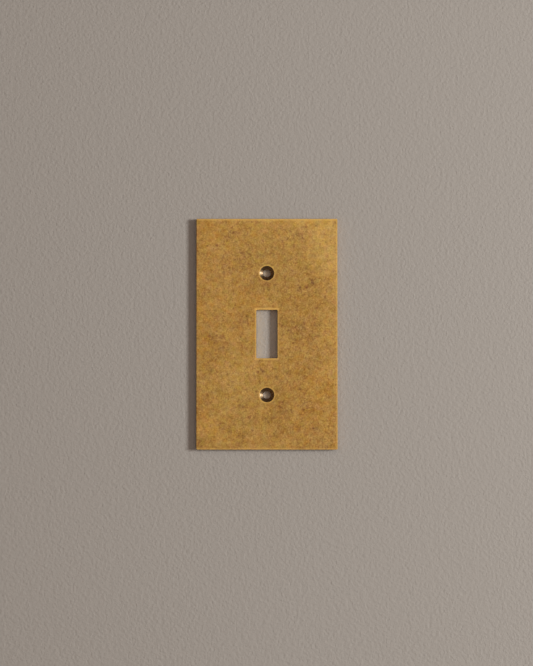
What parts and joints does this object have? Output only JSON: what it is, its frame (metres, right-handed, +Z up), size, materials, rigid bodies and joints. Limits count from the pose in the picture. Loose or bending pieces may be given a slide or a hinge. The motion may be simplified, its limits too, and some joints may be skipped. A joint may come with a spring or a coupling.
{
  "type": "toggle switch plate",
  "caption": "Flat rectangular wall plate of aged brass with a toggle slot, countersunk screw holes and a hollow back, for covering a light switch.",
  "frame": {"origin": "middle of the plate's wall side, on the wall plane", "axes": "+Z up the plate as it hangs, X across it, and the front faces -Y"},
  "size_m": [0.0698, 0.004, 0.1142],
  "materials": {
    "aged_brass": "aged brown patina, finely mottled and matt, with rubbed edges"
  },
  "bodies": {
    "root": {"switch_plate": "aged_brass"}
  },
  "joints": []
}
